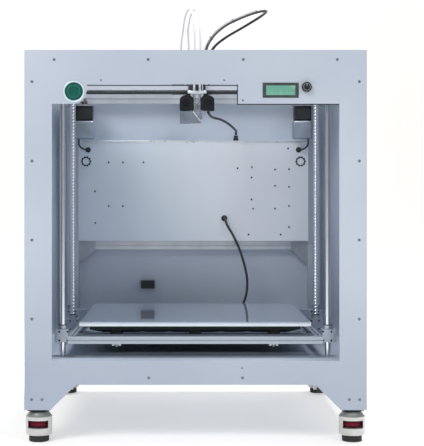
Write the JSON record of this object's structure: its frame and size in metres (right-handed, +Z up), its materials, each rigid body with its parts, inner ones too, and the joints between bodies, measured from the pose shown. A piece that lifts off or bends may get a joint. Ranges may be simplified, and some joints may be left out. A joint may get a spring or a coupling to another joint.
{
  "type": "fdm printer",
  "caption": "Large cabinet printer with an open top, a lifting glass bed, a two-nozzle head on a sliding gantry and levelling casters.",
  "frame": {"origin": "centre of the bounding box, at the underside of the levelling pads", "axes": "+X to the right seen from the front, +Y to the rear, +Z up"},
  "size_m": [0.915, 0.961, 1.2596],
  "materials": {
    "silver_sheet": "satin",
    "floor_sheet": "satin",
    "profile": "satin anodised",
    "bracket": "satin",
    "cover_sheet": "satin",
    "badge": "gloss",
    "display": "satin",
    "black_plastic": "matte",
    "circuit_board": "satin",
    "steel": "polished",
    "motor": "satin",
    "belt": "matte",
    "cable": "matte",
    "hot_end": "machined",
    "bed_plate": "matte anodised",
    "bed_glass": "polished",
    "tube": "translucent",
    "caster_grey": "satin",
    "roller": "matte",
    "foot_rubber": "matte"
  },
  "bodies": {
    "root": {"front_panel": "silver_sheet", "side_panel_left": "silver_sheet", "side_panel_right": "silver_sheet", "rear_panel": "silver_sheet", "floor_panel": "floor_sheet", "frame_profiles": "profile", "corner_brackets": "bracket", "electronics_cover": "cover_sheet", "corner_badge": "badge", "display_module": "display", "power_inlet": "black_plastic", "power_supply": "bracket", "control_board": "circuit_board", "y_rails": "steel", "stepper_motors": "motor", "y_belts": "belt", "z_guide_rods": "steel", "panel_screws": "steel", "filament_feeders": "black_plastic", "motor_leads": "cable", "caster_plates": "steel"},
    "knob_push": {"encoder_shaft": "steel"},
    "knob": {"encoder_knob": "black_plastic"},
    "rocker": {"power_rocker": "black_plastic"},
    "y_pulley_left": {"y_pulley_left": "steel"},
    "y_pulley_right": {"y_pulley_right": "steel"},
    "y_idler_left": {"y_idler_left": "steel"},
    "y_idler_right": {"y_idler_right": "steel"},
    "screw_left": {"z_screw_left": "steel"},
    "screw_right": {"z_screw_right": "steel"},
    "gantry": {"gantry_beam": "profile", "gantry_end_blocks": "bracket", "x_motor": "motor", "x_belt": "belt"},
    "x_pulley": {"x_pulley": "steel"},
    "x_idler": {"x_idler": "steel"},
    "head": {"head_carriage": "bracket", "hot_ends": "hot_end", "blowers": "black_plastic", "head_cables": "cable", "filament_tubes": "tube"},
    "rotor_left": {"blower_rotor_left": "black_plastic"},
    "rotor_right": {"blower_rotor_right": "black_plastic"},
    "bed": {"bed_frame": "profile", "bed_plate": "bed_plate", "bed_glass": "bed_glass", "bed_levellers": "black_plastic", "bed_cable": "cable"},
    "swivel_front_left": {"caster_housing_front_left": "caster_grey"},
    "roller_front_left": {"caster_roller_front_left": "roller"},
    "foot_front_left": {"caster_foot_front_left": "foot_rubber"},
    "swivel_front_right": {"caster_housing_front_right": "caster_grey"},
    "roller_front_right": {"caster_roller_front_right": "roller"},
    "foot_front_right": {"caster_foot_front_right": "foot_rubber"},
    "swivel_rear_left": {"caster_housing_rear_left": "caster_grey"},
    "roller_rear_left": {"caster_roller_rear_left": "roller"},
    "foot_rear_left": {"caster_foot_rear_left": "foot_rubber"},
    "swivel_rear_right": {"caster_housing_rear_right": "caster_grey"},
    "roller_rear_right": {"caster_roller_rear_right": "roller"},
    "foot_rear_right": {"caster_foot_rear_right": "foot_rubber"}
  },
  "joints": [
    {"name": "bed_lift", "type": "slide", "parent": "root", "child": "bed", "axis": [0, 0, 1], "range_m": [-0.01, 0.56], "deforming": ["bed_cable"]},
    {"name": "gantry_slide", "type": "slide", "parent": "root", "child": "gantry", "axis": [0, 1, 0], "range_m": [-0.29, 0.3]},
    {"name": "head_slide", "type": "slide", "parent": "gantry", "child": "head", "axis": [1, 0, 0], "range_m": [-0.3, 0.285], "deforming": ["head_cables", "filament_tubes"]},
    {"name": "screw_left_turn", "type": "hinge", "parent": "root", "child": "screw_left", "pos_m": [-0.367, -0.0365, 0.6], "axis": [0, 0, 1], "range_deg": [-380, 20180]},
    {"name": "screw_right_turn", "type": "hinge", "parent": "root", "child": "screw_right", "pos_m": [0.367, -0.0365, 0.6], "axis": [0, 0, 1], "range_deg": [-380, 20180]},
    {"name": "y_pulley_left_turn", "type": "hinge", "parent": "root", "child": "y_pulley_left", "pos_m": [-0.362, 0.3385, 0.975], "axis": [0, 0, 1], "range_deg": [-2169, 2169]},
    {"name": "y_idler_left_turn", "type": "hinge", "parent": "root", "child": "y_idler_left", "pos_m": [-0.362, -0.3965, 0.975], "axis": [0, 0, 1], "range_deg": [-2169, 2169]},
    {"name": "y_pulley_right_turn", "type": "hinge", "parent": "root", "child": "y_pulley_right", "pos_m": [0.362, 0.3385, 0.975], "axis": [0, 0, 1], "range_deg": [-2169, 2169]},
    {"name": "y_idler_right_turn", "type": "hinge", "parent": "root", "child": "y_idler_right", "pos_m": [0.362, -0.3965, 0.975], "axis": [0, 0, 1], "range_deg": [-2169, 2169]},
    {"name": "x_pulley_turn", "type": "hinge", "parent": "gantry", "child": "x_pulley", "pos_m": [0.33, 0.0195, 0.989], "axis": [0, 0, 1], "range_deg": [-2169, 2169]},
    {"name": "x_idler_turn", "type": "hinge", "parent": "gantry", "child": "x_idler", "pos_m": [-0.33, 0.0195, 0.989], "axis": [0, 0, 1], "range_deg": [-2169, 2169]},
    {"name": "knob_press", "type": "slide", "parent": "root", "child": "knob_push", "axis": [0, 1, 0], "range_m": [0, 0.0006], "stiffness_N_per_m": 4000, "springref_m": -0.0003},
    {"name": "knob_turn", "type": "hinge", "parent": "knob_push", "child": "knob", "pos_m": [0.296, -0.4725, 0.95], "axis": [0, -1, 0], "continuous": true},
    {"name": "rocker_tilt", "type": "hinge", "parent": "root", "child": "rocker", "pos_m": [-0.14, 0.4465, 0.364], "axis": [1, 0, 0], "range_deg": [-14, 0]},
    {"name": "rotor_left_spin", "type": "hinge", "parent": "head", "child": "rotor_left", "pos_m": [-0.028, -0.0505, 0.936], "axis": [1, 0, 0], "continuous": true},
    {"name": "rotor_right_spin", "type": "hinge", "parent": "head", "child": "rotor_right", "pos_m": [0.044, -0.0505, 0.936], "axis": [1, 0, 0], "continuous": true},
    {"name": "swivel_front_left_turn", "type": "hinge", "parent": "root", "child": "swivel_front_left", "pos_m": [-0.422, -0.4305, 0.06], "axis": [0, 0, 1], "continuous": true},
    {"name": "roller_front_left_roll", "type": "hinge", "parent": "swivel_front_left", "child": "roller_front_left", "pos_m": [-0.422, -0.3805, 0.027], "axis": [1, 0, 0], "continuous": true},
    {"name": "foot_front_left_level", "type": "slide", "parent": "swivel_front_left", "child": "foot_front_left", "axis": [0, 0, 1], "range_m": [-0.002, 0.009]},
    {"name": "swivel_front_right_turn", "type": "hinge", "parent": "root", "child": "swivel_front_right", "pos_m": [0.422, -0.4305, 0.06], "axis": [0, 0, 1], "continuous": true},
    {"name": "roller_front_right_roll", "type": "hinge", "parent": "swivel_front_right", "child": "roller_front_right", "pos_m": [0.422, -0.3805, 0.027], "axis": [1, 0, 0], "continuous": true},
    {"name": "foot_front_right_level", "type": "slide", "parent": "swivel_front_right", "child": "foot_front_right", "axis": [0, 0, 1], "range_m": [-0.002, 0.009]},
    {"name": "swivel_rear_left_turn", "type": "hinge", "parent": "root", "child": "swivel_rear_left", "pos_m": [-0.422, 0.4125, 0.06], "axis": [0, 0, 1], "continuous": true},
    {"name": "roller_rear_left_roll", "type": "hinge", "parent": "swivel_rear_left", "child": "roller_rear_left", "pos_m": [-0.422, 0.3625, 0.027], "axis": [1, 0, 0], "continuous": true},
    {"name": "foot_rear_left_level", "type": "slide", "parent": "swivel_rear_left", "child": "foot_rear_left", "axis": [0, 0, 1], "range_m": [-0.002, 0.009]},
    {"name": "swivel_rear_right_turn", "type": "hinge", "parent": "root", "child": "swivel_rear_right", "pos_m": [0.422, 0.4125, 0.06], "axis": [0, 0, 1], "continuous": true},
    {"name": "roller_rear_right_roll", "type": "hinge", "parent": "swivel_rear_right", "child": "roller_rear_right", "pos_m": [0.422, 0.3625, 0.027], "axis": [1, 0, 0], "continuous": true},
    {"name": "foot_rear_right_level", "type": "slide", "parent": "swivel_rear_right", "child": "foot_rear_right", "axis": [0, 0, 1], "range_m": [-0.002, 0.009]}
  ],
  "couplings": [
    {"joint": "screw_left_turn", "follows": "bed_lift", "rad_per_m": 628.32},
    {"joint": "screw_right_turn", "follows": "bed_lift", "rad_per_m": 628.32},
    {"joint": "y_pulley_left_turn", "follows": "gantry_slide", "rad_per_m": 125},
    {"joint": "y_idler_left_turn", "follows": "gantry_slide", "rad_per_m": 125},
    {"joint": "y_pulley_right_turn", "follows": "gantry_slide", "rad_per_m": -125},
    {"joint": "y_idler_right_turn", "follows": "gantry_slide", "rad_per_m": -125},
    {"joint": "x_pulley_turn", "follows": "head_slide", "rad_per_m": 125},
    {"joint": "x_idler_turn", "follows": "head_slide", "rad_per_m": 125}
  ]
}
